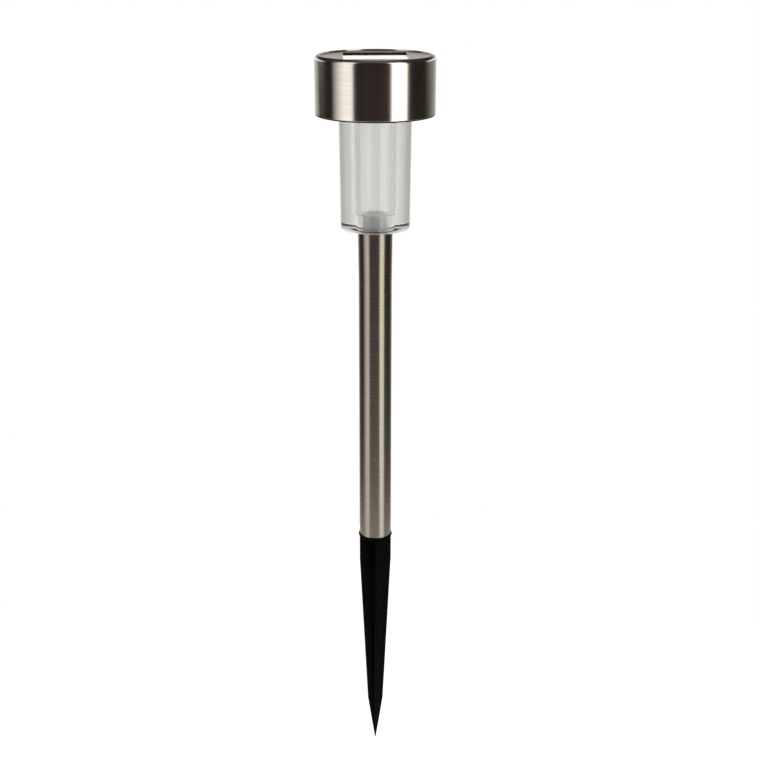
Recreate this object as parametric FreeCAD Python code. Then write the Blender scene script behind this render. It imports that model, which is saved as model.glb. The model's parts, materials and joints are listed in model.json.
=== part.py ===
import FreeCAD, Part
import math
import os

# Solar garden light on a ground spike. Millimetres, +Z up, front is -Y.
# The origin is on the pole's axis at ground level, the underside of the spike's collar.

# --- driving dimensions -------------------------------------------------------------------
POLE_RADIUS = 8.0            # outside of the steel pole
POLE_WALL = 0.5
POLE_TOP = 161.2             # where the pole ends and the lens shows
POLE_FLARE = 0.3             # the mouth is opened out this much to lead the lens in
POLE_FLARE_LENGTH = 26.0

COLLAR_RADIUS = 8.5          # spike collar that the pole stands on
COLLAR_HEIGHT = 1.2
SPIKE_PLUG_LENGTH = 22.0
SPIKE_TURN = 12.0            # degrees from square to the light's front
WING_WIDTH = 16.1
WING_THICKNESS = 2.2
WING_STRAIGHT = 13.3         # depth at which the wings start to taper
WING_POINT_DEPTH = 97.0      # depth at which the point starts
WING_POINT_WIDTH = 7.7
SPIKE_DEPTH = 121.5
TIP_WIDTH = 0.4
WING_CORNER = 0.9            # cut off the wings' upper corners, under the collar
PLUG_LEAD = 1.5              # length of the lead-in at the end of a plug

LENS_BOTTOM_RADIUS = 16.4
LENS_TOP_RADIUS = 17.0
LENS_VISIBLE = 53.5          # from the pole's mouth to the cap's lower edge
LENS_HIDDEN = 6.0            # reach inside the cap
LENS_EDGE = 1.1              # rounding of the lower outer edge
LENS_BORE_RADIUS = 7.2       # at the floor
LENS_BORE_TOP_RADIUS = 7.6
LENS_BORE_ROUND = 0.8        # between the bore and the floor
LENS_FLOOR = 7.6
LENS_PLUG_LENGTH = 14.0
LENS_PLUG_TAPER = 0.8
INSERT_HOLE_RADIUS = 6.1     # hole through the lens floor that takes the clear plug
INSERT_GAP = 0.05            # between hole and plug
INSERT_STEP = 0.15           # the plug is this much slimmer above each of the heights below
INSERT_STEP_HEIGHTS = (2.0, 4.4)
PLUG_HOLLOW_RADIUS = 4.9
PLUG_ROOF = 1.0              # closed end of the hollow plug

FIT = 0.08                   # radial clearance of the push fits

CAP_RADIUS = 28.0
CAP_HEIGHT = 27.2
SHEET = 0.5
SHOULDER_RADIUS = 1.9
FACE_RADIUS = 25.7
FACE_DROP = 0.5
LINER_LIP = 0.6              # black edge that shows below the steel
LINER_WALL = 1.0
LINER_GAP = 0.05             # between liner and steel
LINER_SET_BACK = 0.15        # the lip stays inside the steel's outer face
LINER_EDGE = 0.3
WINDOW_SIDE = 30.0
WINDOW_CORNER = 0.6
HEAD_TURN = 2.0              # degrees that the head is turned on the lens

PANEL_SIDE = 33.0
GASKET_SIDE = 35.0
GASKET_HEIGHT = 0.2
RESIN_HEIGHT = 1.0
CELL_HEIGHT = 0.3
BOARD_HEIGHT = 1.2
TAPE_HEIGHT = 0.5
CELL_COUNT = 4
CELL_MARGIN = 2.0            # bare border of the board round the cells, and of the tape
CELL_GAP = 0.3
LEAD_HOLE = (-6.0, 6.0, 2.5, 8.5)  # way through tape and tray for the panel's leads

HOUSING_RADIUS = 27.1
HOUSING_WALL = 1.4
HOUSING_TOP_PLATE = 1.5
TRAY_INSIDE = 33.4
TRAY_OUTSIDE = 36.2
COVER_HEIGHT = 1.8
COVER_ABOVE_LENS = 0.3
COVER_GAP = 0.2              # the cover's edge inside the liner and cap
SOCKET_RADIUS = 18.15        # collar under the cover that takes the lens and its seal
SOCKET_WALL = 1.3
SOCKET_DEPTH = 5.2
SEAL_HEIGHT = 4.0

SCREW_CIRCLE = 23.2
SCREW_ANGLES = (30.0, 150.0, 270.0)
SCREW_RADIUS = 1.2
SCREW_HEAD_RADIUS = 2.2
SCREW_HEAD_HEIGHT = 1.2
SCREW_LENGTH = 8.0
SCREW_END_GAP = 1.0          # left under the screw's end in its boss
SCREW_RECESS = 0.8           # depth that the head sinks into the cover
SCREW_CROSS = (1.3, 0.35, 0.7)  # half length, half width and depth of the cross slot
BOSS_RADIUS = 2.7

BATTERY_RADIUS = 5.25
BATTERY_LENGTH = 30.0
BATTERY_Y = -10.5
SLEEVE = 0.12
BATTERY_SHOULDER = 1.0       # length of the positive button
BATTERY_BUTTON_RADIUS = 1.9
SLEEVE_OPENING = 3.6
CONTACT_GAP = 2.6            # room for the contact at each end of the battery
CONTACT_STRIP = 0.4
CONTACT_INSET = 1.0          # from the housing's plate and the cover
PLATE_HALF_WIDTH = 4.0
LEAF_HALF_WIDTH = 3.0
BATTERY_CLEARANCE = 0.8      # between battery and cover
CRADLE_SPARE = 0.6
CRADLE_WALL = 1.4
SADDLE_X = 9.0
SADDLE_WALL = 1.6

BOARD_BOX = (-13.0, 13.0, -2.8, 15.0)
CIRCUIT_HEIGHT = 1.2
CIRCUIT_ABOVE_COVER = 6.6
POST_X = 11.0
POST_Y = 12.5
POST_RADIUS = 2.0
PIN_RADIUS = 0.9
PIN_REACH = 0.6              # above the circuit board

LED_RADIUS = 2.5
LED_FLANGE_RADIUS = 2.9
LED_LENGTH = 7.7
LED_FLANGE_HEIGHT = 1.0
LED_HOLE_SPARE = 0.1
REFLECTOR_RADIUS = 6.6
REFLECTOR_DEPTH = 3.4
REFLECTOR_SKIN = 0.8
LEAD_SPACING = 2.54
LEAD_WIDTH = 0.5
LEAD_REACH = 0.8             # of legs through or above the circuit board

SWITCH_Y = 22.9
SWITCH_TRAVEL = 2.0
SWITCH_BODY = (9.0, 4.0, 3.6)
SWITCH_CLEARANCE = 0.35
SLOT_HALF_WIDTH = 1.15
STEM_HALF_WIDTH = 0.8
FOOT_HALF_LENGTH = 1.1
FOOT_HEIGHT = 1.6
FOOT_ROOM = 2.0
KNOB_WIDTH = 3.0
KNOB_HEIGHT = 2.2
KNOB_GROOVES = (-0.9, 0.0, 0.9)
TERMINALS = (-2.5, 0.0, 2.5)
TERMINAL_HEIGHT = 2.4

WIRE_RADIUS = 0.55
WIRE_BEND = 1.7
WIRE_ABOVE_CIRCUIT = 3.4
BATTERY_WIRE_DROP = 1.9      # below the housing's plate
WIRE_CLEARANCE = 0.1
PANEL_WIRE_BEND = 1.4
THIN_WIRE_RADIUS = 0.45
THIN_WIRE_BEND = 1.3

# --- levels worked out from them ----------------------------------------------------------
LENS_TOP = POLE_TOP + LENS_VISIBLE + LENS_HIDDEN
CAP_BOTTOM = POLE_TOP + LENS_VISIBLE
CAP_TOP = CAP_BOTTOM + CAP_HEIGHT
FACE_TOP = CAP_TOP - FACE_DROP
FACE_UNDER = FACE_TOP - SHEET
PANEL_TOP = FACE_UNDER - GASKET_HEIGHT
CELL_TOP = PANEL_TOP - RESIN_HEIGHT
BOARD_TOP = CELL_TOP - CELL_HEIGHT
TAPE_TOP = BOARD_TOP - BOARD_HEIGHT
PLATE_TOP = TAPE_TOP - TAPE_HEIGHT
PLATE_UNDER = PLATE_TOP - HOUSING_TOP_PLATE
COVER_UNDER = LENS_TOP + COVER_ABOVE_LENS
COVER_TOP = COVER_UNDER + COVER_HEIGHT
BATTERY_Z = COVER_TOP + BATTERY_CLEARANCE + BATTERY_RADIUS
CIRCUIT_UNDER = COVER_TOP + CIRCUIT_ABOVE_COVER
CIRCUIT_TOP = CIRCUIT_UNDER + CIRCUIT_HEIGHT
BATTERY_WALL_X = BATTERY_LENGTH / 2 + CONTACT_GAP
WIRE_LEVEL = CIRCUIT_TOP + WIRE_ABOVE_CIRCUIT


# --- helpers ------------------------------------------------------------------------------
def vec(x, y, z):
    return FreeCAD.Vector(x, y, z)


def block(x0, x1, y0, y1, z0, z1):
    return Part.makeBox(x1 - x0, y1 - y0, z1 - z0, vec(x0, y0, z0))


def disc(radius, z0, z1, x=0.0, y=0.0):
    return Part.makeCylinder(radius, z1 - z0, vec(x, y, z0))


def ring(outer, inner, z0, z1, x=0.0, y=0.0):
    return disc(outer, z0, z1, x, y).cut(disc(inner, z0, z1, x, y))


def rod_x(radius, x0, x1, y, z):
    return Part.makeCylinder(radius, x1 - x0, vec(x0, y, z), vec(1, 0, 0))


def lathe(points):
    """Turn an outline of (radius, z) points about the axis; a 3-point tuple is an arc."""
    edges = []
    here = points[0]
    for step in points[1:]:
        if len(step) == 3:
            _, middle, end = step
            edges.append(Part.Arc(vec(here[0], 0, here[1]), vec(middle[0], 0, middle[1]),
                                  vec(end[0], 0, end[1])).toShape())
            here = end
        else:
            edges.append(Part.LineSegment(vec(here[0], 0, here[1]), vec(step[0], 0, step[1])).toShape())
            here = step
    first = points[0]
    edges.append(Part.LineSegment(vec(here[0], 0, here[1]), vec(first[0], 0, first[1])).toShape())
    face = Part.Face(Part.Wire(edges))
    return face.revolve(vec(0, 0, 0), vec(0, 0, 1), 360)


def round_to(centre, radius, middle_angle, end):
    """An arc step of a lathe outline, through the point at middle_angle degrees about its centre."""
    angle = math.radians(middle_angle)
    middle = (centre[0] + radius * math.cos(angle), centre[1] + radius * math.sin(angle))
    return ("arc", middle, end)


def square_frame(outer, inner, z0, z1):
    return block(-outer / 2, outer / 2, -outer / 2, outer / 2, z0, z1).cut(
        block(-inner / 2, inner / 2, -inner / 2, inner / 2, z0, z1))


def turned(shape, degrees):
    copy = shape.copy()
    copy.rotate(vec(0, 0, 0), vec(0, 0, 1), degrees)
    return copy


def on_circle(radius, degrees):
    angle = math.radians(degrees)
    return radius * math.cos(angle), radius * math.sin(angle)


def bent_wire(corners, radius, bend):
    """A round wire of straight runs joined by tangent arcs."""
    points = [vec(*corner) for corner in corners]
    edges = []
    start = points[0]
    for before, corner, after in zip(points, points[1:], points[2:]):
        coming = (corner - before).normalize()
        leaving = (after - corner).normalize()
        half_turn = coming.getAngle(leaving) / 2
        setback = bend * math.tan(half_turn)
        arc_start = corner - coming * setback
        arc_end = corner + leaving * setback
        inward = (leaving - coming).normalize()
        middle = corner + inward * (bend / math.cos(half_turn) - bend)
        edges.append(Part.LineSegment(start, arc_start).toShape())
        edges.append(Part.Arc(arc_start, middle, arc_end).toShape())
        start = arc_end
    edges.append(Part.LineSegment(start, points[-1]).toShape())
    section = Part.Wire([Part.makeCircle(radius, points[0], points[1] - points[0])])
    return Part.Wire(edges).makePipeShell([section], True, True)


# --- ground stake -------------------------------------------------------------------------
def wing():
    """One flat blade of the spike, tapering to the point."""
    outline = [(WING_WIDTH / 2 - WING_CORNER, 0), (WING_WIDTH / 2, -WING_CORNER),
               (WING_WIDTH / 2, -WING_STRAIGHT), (WING_POINT_WIDTH / 2, -WING_POINT_DEPTH),
               (TIP_WIDTH / 2, -SPIKE_DEPTH)]
    outline = outline + [(-x, z) for x, z in reversed(outline)]
    corners = [vec(x, -WING_THICKNESS / 2, z) for x, z in outline]
    face = Part.Face(Part.makePolygon(corners + corners[:1]))
    return face.extrude(vec(0, WING_THICKNESS, 0))


def spike_plug():
    """Crossed ribs that stand up inside the pole, with a lead-in at the top."""
    radius = POLE_RADIUS - POLE_WALL - FIT
    top = COLLAR_HEIGHT + SPIKE_PLUG_LENGTH
    envelope = lathe([(0, COLLAR_HEIGHT), (radius, COLLAR_HEIGHT), (radius, top - PLUG_LEAD),
                      (radius - PLUG_LEAD, top), (0, top)])
    half = WING_THICKNESS / 2
    cross = block(-radius, radius, -half, half, COLLAR_HEIGHT, top).fuse(
        block(-half, half, -radius, radius, COLLAR_HEIGHT, top))
    return envelope.common(cross)


def spike_envelope():
    """Round cone that brings both blades to one point."""
    blade_corner = math.hypot(WING_POINT_WIDTH / 2, WING_THICKNESS / 2)
    return lathe([(0, -SPIKE_DEPTH), (TIP_WIDTH / 2, -SPIKE_DEPTH), (blade_corner, -WING_POINT_DEPTH),
                  (COLLAR_RADIUS, -WING_POINT_DEPTH), (COLLAR_RADIUS, COLLAR_HEIGHT), (0, COLLAR_HEIGHT)])


def ground_spike():
    blades = wing().fuse(turned(wing(), 90)).common(spike_envelope())
    collar = disc(COLLAR_RADIUS, 0, COLLAR_HEIGHT)
    whole = blades.fuse([collar, spike_plug()]).removeSplitter()
    return turned(whole, SPIKE_TURN)


# --- pole ---------------------------------------------------------------------------------
def pole_tube():
    flare_start = POLE_TOP - POLE_FLARE_LENGTH
    mouth = POLE_RADIUS + POLE_FLARE
    bore = POLE_RADIUS - POLE_WALL
    return lathe([(bore, COLLAR_HEIGHT), (POLE_RADIUS, COLLAR_HEIGHT), (POLE_RADIUS, flare_start),
                  (mouth, POLE_TOP), (mouth - POLE_WALL, POLE_TOP), (bore, flare_start)])


# --- lens ---------------------------------------------------------------------------------
def lens():
    """Thick clear tube with a narrow bore, and a smaller hole through its deep floor."""
    floor_top = POLE_TOP + LENS_FLOOR
    slope = (LENS_TOP_RADIUS - LENS_BOTTOM_RADIUS) / LENS_VISIBLE
    edge_radius = LENS_BOTTOM_RADIUS + slope * LENS_EDGE
    edge_centre = (edge_radius - LENS_EDGE, POLE_TOP + LENS_EDGE)
    bore_centre = (LENS_BORE_RADIUS - LENS_BORE_ROUND, floor_top + LENS_BORE_ROUND)
    return lathe([(INSERT_HOLE_RADIUS, POLE_TOP), (edge_centre[0], POLE_TOP),
                  round_to(edge_centre, LENS_EDGE, -45, (edge_radius, edge_centre[1])),
                  (LENS_TOP_RADIUS, CAP_BOTTOM), (LENS_TOP_RADIUS, LENS_TOP),
                  (LENS_BORE_TOP_RADIUS, LENS_TOP), (LENS_BORE_RADIUS, bore_centre[1]),
                  round_to(bore_centre, LENS_BORE_ROUND, -45, (bore_centre[0], floor_top)),
                  (INSERT_HOLE_RADIUS, floor_top)])


def lens_plug():
    """Clear hollow plug: stepped above, where it fills the lens floor, and wider in the pole."""
    wide = POLE_RADIUS - POLE_WALL - FIT
    low = POLE_TOP - LENS_PLUG_LENGTH
    high = POLE_TOP + LENS_FLOOR
    radius = INSERT_HOLE_RADIUS - INSERT_GAP
    outline = [(PLUG_HOLLOW_RADIUS, low), (wide - LENS_PLUG_TAPER, low), (wide, low + PLUG_LEAD),
               (wide, POLE_TOP), (radius, POLE_TOP)]
    for height in INSERT_STEP_HEIGHTS:
        outline += [(radius, POLE_TOP + height), (radius - INSERT_STEP, POLE_TOP + height)]
        radius -= INSERT_STEP
    return lathe(outline + [(radius, high), (0, high), (0, high - PLUG_ROOF),
                            (PLUG_HOLLOW_RADIUS, high - PLUG_ROOF)])


def lens_seal():
    """Soft clear ring that grips the lens inside the socket."""
    top = COVER_UNDER - FIT
    return ring(SOCKET_RADIUS - FIT, LENS_TOP_RADIUS + FIT, top - SEAL_HEIGHT, top)


# --- cap and solar panel ------------------------------------------------------------------
def cap_shell():
    """Drawn steel cap with a rounded shoulder and a sunk top face with a square window."""
    inner = CAP_RADIUS - SHEET
    low = CAP_BOTTOM + LINER_LIP
    centre_r = CAP_RADIUS - SHOULDER_RADIUS
    centre = (centre_r, CAP_TOP - SHOULDER_RADIUS)
    shell = lathe([(0, FACE_UNDER), (centre_r, FACE_UNDER), (centre_r, CAP_TOP - SHEET),
                   round_to(centre, SHOULDER_RADIUS - SHEET, 45, (inner, centre[1])),
                   (inner, low), (CAP_RADIUS, low), (CAP_RADIUS, centre[1]),
                   round_to(centre, SHOULDER_RADIUS, 45, (centre_r, CAP_TOP)),
                   (FACE_RADIUS, CAP_TOP), (FACE_RADIUS, FACE_TOP), (0, FACE_TOP)])
    half = WINDOW_SIDE / 2
    window = block(-half, half, -half, half, FACE_UNDER, FACE_TOP)
    upright = [edge for edge in window.Edges if edge.BoundBox.ZLength > SHEET / 2]
    window = window.makeFillet(WINDOW_CORNER, upright)
    return shell.cut(window)


def cap_liner():
    """Black ring inside the steel cap, with a rounded lip that shows under its edge."""
    outer = CAP_RADIUS - SHEET - LINER_GAP
    lip = CAP_RADIUS - LINER_SET_BACK
    top = COVER_UNDER - COVER_GAP
    lip_centre = (lip - LINER_EDGE, CAP_BOTTOM + LINER_EDGE)
    return lathe([(outer - LINER_WALL, CAP_BOTTOM), (lip_centre[0], CAP_BOTTOM),
                  round_to(lip_centre, LINER_EDGE, -45, (lip, lip_centre[1])),
                  (lip, CAP_BOTTOM + LINER_LIP), (outer, CAP_BOTTOM + LINER_LIP),
                  (outer, top), (outer - LINER_WALL, top)])


def panel_gasket():
    return square_frame(GASKET_SIDE, WINDOW_SIDE, PANEL_TOP, FACE_UNDER)


def panel_resin():
    half = PANEL_SIDE / 2
    return block(-half, half, -half, half, CELL_TOP, PANEL_TOP)


def solar_cells():
    """Silicon strips side by side under the clear resin."""
    half = PANEL_SIDE / 2 - CELL_MARGIN
    width = (2 * half - (CELL_COUNT - 1) * CELL_GAP) / CELL_COUNT
    strips = []
    for index in range(CELL_COUNT):
        left = -half + index * (width + CELL_GAP)
        strips.append(block(left, left + width, -half, half, BOARD_TOP, CELL_TOP))
    return Part.makeCompound(strips)


def panel_board():
    half = PANEL_SIDE / 2
    return block(-half, half, -half, half, TAPE_TOP, BOARD_TOP)


def panel_tape():
    """Double-sided foam tape, open at the back where the leads come through."""
    half = PANEL_SIDE / 2 - CELL_MARGIN
    tape = block(-half, half, -half, half, PLATE_TOP, TAPE_TOP)
    return tape.cut(block(*LEAD_HOLE, PLATE_TOP, TAPE_TOP))


# --- housing ------------------------------------------------------------------------------
def screw_places():
    return [on_circle(SCREW_CIRCLE, angle) for angle in SCREW_ANGLES]


def housing():
    """Black moulding inside the cap: panel tray above, battery and circuit space below."""
    body = disc(HOUSING_RADIUS, COVER_TOP, PLATE_TOP)
    body = body.cut(disc(HOUSING_RADIUS - HOUSING_WALL, COVER_TOP, PLATE_UNDER))
    tray = square_frame(TRAY_OUTSIDE, TRAY_INSIDE, PLATE_TOP, PANEL_TOP)
    bosses = [disc(BOSS_RADIUS, COVER_TOP, PLATE_UNDER, x, y) for x, y in screw_places()]
    cradle_y0 = BATTERY_Y - BATTERY_RADIUS - CRADLE_SPARE
    cradle_y1 = BATTERY_Y + BATTERY_RADIUS + CRADLE_SPARE
    walls = []
    for side in (-1, 1):
        near = side * BATTERY_WALL_X
        far = side * (BATTERY_WALL_X + CRADLE_WALL)
        walls.append(block(min(near, far), max(near, far), cradle_y0, cradle_y1,
                           COVER_TOP + COVER_GAP, PLATE_UNDER))
    saddles = [block(x - SADDLE_WALL / 2, x + SADDLE_WALL / 2, cradle_y0, cradle_y1, BATTERY_Z, PLATE_UNDER)
               for x in (-SADDLE_X, SADDLE_X)]
    body = body.fuse([tray] + bosses + walls + saddles)
    body = body.cut(rod_x(BATTERY_RADIUS + FIT, -BATTERY_LENGTH / 2, BATTERY_LENGTH / 2,
                          BATTERY_Y, BATTERY_Z))
    body = body.cut(block(*LEAD_HOLE, PLATE_UNDER, PLATE_TOP))
    for x, y in screw_places():
        body = body.cut(disc(SCREW_RADIUS, COVER_TOP, COVER_TOP + SCREW_LENGTH, x, y))
    return body.removeSplitter()


def housing_cover():
    """Plate that closes the housing, with the lens socket below and two posts above."""
    plate = disc(HOUSING_RADIUS - COVER_GAP, COVER_UNDER, COVER_TOP)
    socket = ring(SOCKET_RADIUS + SOCKET_WALL, SOCKET_RADIUS, COVER_UNDER - SOCKET_DEPTH, COVER_UNDER)
    posts = []
    for side in (-1, 1):
        x = side * POST_X
        posts.append(disc(POST_RADIUS, COVER_TOP, CIRCUIT_UNDER, x, POST_Y))
        posts.append(disc(PIN_RADIUS, CIRCUIT_UNDER, CIRCUIT_TOP + PIN_REACH, x, POST_Y))
    body = plate.fuse([socket] + posts)
    body = body.cut(disc(LED_RADIUS + LED_HOLE_SPARE, COVER_UNDER, COVER_TOP))
    for x, y in screw_places():
        body = body.cut(disc(SCREW_RADIUS + COVER_GAP, COVER_UNDER, COVER_TOP, x, y))
        body = body.cut(disc(SCREW_HEAD_RADIUS + COVER_GAP, COVER_UNDER, COVER_UNDER + SCREW_RECESS, x, y))
    slot_half = SWITCH_TRAVEL / 2 + STEM_HALF_WIDTH + SWITCH_CLEARANCE
    body = body.cut(block(-slot_half, slot_half, SWITCH_Y - SLOT_HALF_WIDTH, SWITCH_Y + SLOT_HALF_WIDTH,
                          COVER_UNDER, COVER_TOP))
    return body.removeSplitter()


def cover_screws():
    """Three pan-head screws driven up through the cover into the housing's bosses."""
    head_top = COVER_UNDER + SCREW_RECESS
    head_bottom = head_top - SCREW_HEAD_HEIGHT
    long_half, narrow_half, slot_depth = SCREW_CROSS
    screws = []
    for x, y in screw_places():
        head = disc(SCREW_HEAD_RADIUS, head_bottom, head_top, x, y)
        shank = disc(SCREW_RADIUS, head_top, COVER_TOP + SCREW_LENGTH - SCREW_END_GAP, x, y)
        screw = head.fuse(shank)
        for half_x, half_y in ((long_half, narrow_half), (narrow_half, long_half)):
            screw = screw.cut(block(x - half_x, x + half_x, y - half_y, y + half_y,
                                    head_bottom, head_bottom + slot_depth))
        screws.append(screw.removeSplitter())
    return Part.makeCompound(screws)


# --- battery ------------------------------------------------------------------------------
def battery_can():
    """Steel can of the rechargeable cell; the positive button faces +X."""
    half = BATTERY_LENGTH / 2
    shoulder = half - BATTERY_SHOULDER
    can = rod_x(BATTERY_RADIUS - SLEEVE, -half, shoulder, BATTERY_Y, BATTERY_Z)
    button = rod_x(BATTERY_BUTTON_RADIUS, shoulder, half, BATTERY_Y, BATTERY_Z)
    return can.fuse(button).removeSplitter()


def battery_sleeve():
    """Plain film shrunk round the can and turned over its positive end."""
    half = BATTERY_LENGTH / 2
    shoulder = half - BATTERY_SHOULDER
    end = shoulder + SLEEVE
    film = rod_x(BATTERY_RADIUS, -half, end, BATTERY_Y, BATTERY_Z)
    film = film.cut(rod_x(BATTERY_RADIUS - SLEEVE, -half, shoulder, BATTERY_Y, BATTERY_Z))
    return film.cut(rod_x(SLEEVE_OPENING, shoulder, end, BATTERY_Y, BATTERY_Z))


def battery_plate():
    """Flat positive contact with a dimple that meets the button."""
    face = BATTERY_WALL_X - CONTACT_STRIP
    plate = block(face, BATTERY_WALL_X, BATTERY_Y - PLATE_HALF_WIDTH, BATTERY_Y + PLATE_HALF_WIDTH,
                  COVER_TOP + CONTACT_INSET, PLATE_UNDER - CONTACT_INSET)
    dimple_radius = 1.5
    dimple = rod_x(dimple_radius, BATTERY_LENGTH / 2, face, BATTERY_Y, BATTERY_Z)
    return plate.fuse(dimple).removeSplitter()


def battery_leaf():
    """Springy negative contact bent from strip."""
    wall = -BATTERY_WALL_X
    touch = -BATTERY_LENGTH / 2
    low = COVER_TOP + CONTACT_INSET
    high = PLATE_UNDER - CONTACT_INSET
    foot = 1.5
    slanted_strip = 0.48
    back = touch - slanted_strip
    outline = [(wall, low), (wall + CONTACT_STRIP, low), (touch, BATTERY_Z), (wall + CONTACT_STRIP, high),
               (wall, high), (wall, high - foot), (back, BATTERY_Z), (wall, low + foot)]
    corners = [vec(x, BATTERY_Y - LEAF_HALF_WIDTH, z) for x, z in outline]
    return Part.Face(Part.makePolygon(corners + corners[:1])).extrude(vec(0, 2 * LEAF_HALF_WIDTH, 0))


# --- circuit ------------------------------------------------------------------------------
def lead_places():
    return [(side * LEAD_SPACING / 2, 0.0) for side in (-1, 1)]


def circuit_board():
    x0, x1, y0, y1 = BOARD_BOX
    board = block(x0, x1, y0, y1, CIRCUIT_UNDER, CIRCUIT_TOP)
    for side in (-1, 1):
        board = board.cut(disc(PIN_RADIUS, CIRCUIT_UNDER, CIRCUIT_TOP, side * POST_X, POST_Y))
    for x, y in lead_places():
        board = board.cut(disc(LEAD_WIDTH, CIRCUIT_UNDER, CIRCUIT_TOP, x, y))
    return board


def driver_chip():
    """Four-legged driver standing on the board."""
    x, y = 5.0, 9.5
    length, depth, height = 5.2, 1.8, 2.6
    low = CIRCUIT_TOP + LEAD_REACH
    leg_half = 0.2
    leg_pitch = 1.27
    body = block(x - length / 2, x + length / 2, y - depth / 2, y + depth / 2, low, low + height)
    legs = [block(x + place * leg_pitch - leg_half, x + place * leg_pitch + leg_half,
                  y - leg_half, y + leg_half, CIRCUIT_TOP, low)
            for place in (-1.5, -0.5, 0.5, 1.5)]
    return body.fuse(legs).removeSplitter()


def inductor():
    """Drum-wound coil standing on the board."""
    x, y = -5.5, 10.0
    flange_radius, winding_radius = 2.1, 1.7
    levels = (CIRCUIT_TOP, CIRCUIT_TOP + 0.6, CIRCUIT_TOP + 3.2, CIRCUIT_TOP + 3.8)
    winding = disc(winding_radius, levels[1], levels[2], x, y)
    return winding.fuse([disc(flange_radius, levels[0], levels[1], x, y),
                         disc(flange_radius, levels[2], levels[3], x, y)]).removeSplitter()


def resistor():
    """Axial resistor lying on the board with its two bent legs."""
    y = 12.6
    level = CIRCUIT_TOP + 1.0
    leg_x, leg_radius, leg_bend = 5.0, 0.25, 0.6
    body_half, body_radius = 1.9, 0.85
    legs = bent_wire([(-leg_x, y, CIRCUIT_TOP), (-leg_x, y, level), (leg_x, y, level),
                      (leg_x, y, CIRCUIT_TOP)], leg_radius, leg_bend)
    return legs.fuse(rod_x(body_radius, -body_half, body_half, y, level)).removeSplitter()


def led_body():
    """Clear 5 mm lamp, dome down, its flange resting on the cover."""
    tip = COVER_TOP - LED_LENGTH
    centre = (0.0, tip + LED_RADIUS)
    flange_top = COVER_TOP + LED_FLANGE_HEIGHT
    return lathe([(0.0, tip), round_to(centre, LED_RADIUS, -45, (LED_RADIUS, centre[1])),
                  (LED_RADIUS, COVER_TOP), (LED_FLANGE_RADIUS, COVER_TOP),
                  (LED_FLANGE_RADIUS, flange_top), (0, flange_top)])


def led_leads():
    half = LEAD_WIDTH / 2
    low = COVER_TOP + LED_FLANGE_HEIGHT
    high = CIRCUIT_TOP + LEAD_REACH
    return Part.makeCompound([block(x - half, x + half, y - half, y + half, low, high)
                              for x, y in lead_places()])


def led_reflector():
    """Shallow bright cone round the lamp, fixed under the cover inside the lens."""
    inner = LED_FLANGE_RADIUS
    low = COVER_UNDER - REFLECTOR_DEPTH
    return lathe([(inner, COVER_UNDER - REFLECTOR_SKIN), (REFLECTOR_RADIUS - REFLECTOR_SKIN, low),
                  (REFLECTOR_RADIUS, low), (REFLECTOR_RADIUS, COVER_UNDER), (inner, COVER_UNDER)])


# --- switch -------------------------------------------------------------------------------
def switch_body():
    length, depth, height = SWITCH_BODY
    body = block(-length / 2, length / 2, SWITCH_Y - depth / 2, SWITCH_Y + depth / 2,
                 COVER_TOP, COVER_TOP + height)
    channel_half = SWITCH_TRAVEL / 2 + FOOT_HALF_LENGTH + SWITCH_CLEARANCE
    return body.cut(block(-channel_half, channel_half, SWITCH_Y - SLOT_HALF_WIDTH,
                          SWITCH_Y + SLOT_HALF_WIDTH, COVER_TOP, COVER_TOP + FOOT_ROOM))


def switch_terminals():
    low = COVER_TOP + SWITCH_BODY[2]
    half_width, half_thickness = 0.35, 0.15
    return Part.makeCompound([block(x - half_width, x + half_width, SWITCH_Y - half_thickness,
                                    SWITCH_Y + half_thickness, low, low + TERMINAL_HEIGHT)
                              for x in TERMINALS])


def switch_slider():
    """Ribbed knob that sticks out under the cover, with its foot inside the switch."""
    x = -SWITCH_TRAVEL / 2
    knob_top = COVER_UNDER - SWITCH_CLEARANCE
    knob_bottom = knob_top - KNOB_HEIGHT
    half = KNOB_WIDTH / 2
    y0, y1 = SWITCH_Y - half, SWITCH_Y + half
    groove_half, groove_depth = 0.2, 0.4
    knob = block(x - half, x + half, y0, y1, knob_bottom, knob_top)
    for offset in KNOB_GROOVES:
        knob = knob.cut(block(x + offset - groove_half, x + offset + groove_half, y0, y1,
                              knob_bottom, knob_bottom + groove_depth))
    y0, y1 = SWITCH_Y - STEM_HALF_WIDTH, SWITCH_Y + STEM_HALF_WIDTH
    foot_low = COVER_TOP + SWITCH_CLEARANCE
    stem = block(x - STEM_HALF_WIDTH, x + STEM_HALF_WIDTH, y0, y1, knob_top, foot_low)
    foot = block(x - FOOT_HALF_LENGTH, x + FOOT_HALF_LENGTH, y0, y1, foot_low, COVER_TOP + FOOT_HEIGHT)
    return knob.fuse([stem, foot]).removeSplitter()


# --- wires --------------------------------------------------------------------------------
def panel_wire(side):
    """From the back of the panel down to the circuit board."""
    x, y = 3.5 * side, 5.0
    end_x = 9.0 * side
    return bent_wire([(x, y, TAPE_TOP), (x, y, WIRE_LEVEL), (end_x, y, WIRE_LEVEL), (end_x, y, CIRCUIT_TOP)],
                     WIRE_RADIUS, PANEL_WIRE_BEND)


def battery_wire(side):
    """From the side of a battery contact round to the circuit board."""
    contact_half = PLATE_HALF_WIDTH if side > 0 else LEAF_HALF_WIDTH
    x = side * (BATTERY_WALL_X - WIRE_RADIUS - WIRE_CLEARANCE)
    y = 1.0
    end_x = 11.0 * side
    level = PLATE_UNDER - BATTERY_WIRE_DROP
    return bent_wire([(x, BATTERY_Y + contact_half, level), (x, y, level), (end_x, y, level),
                      (end_x, y, CIRCUIT_TOP)], WIRE_RADIUS, WIRE_BEND)


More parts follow.
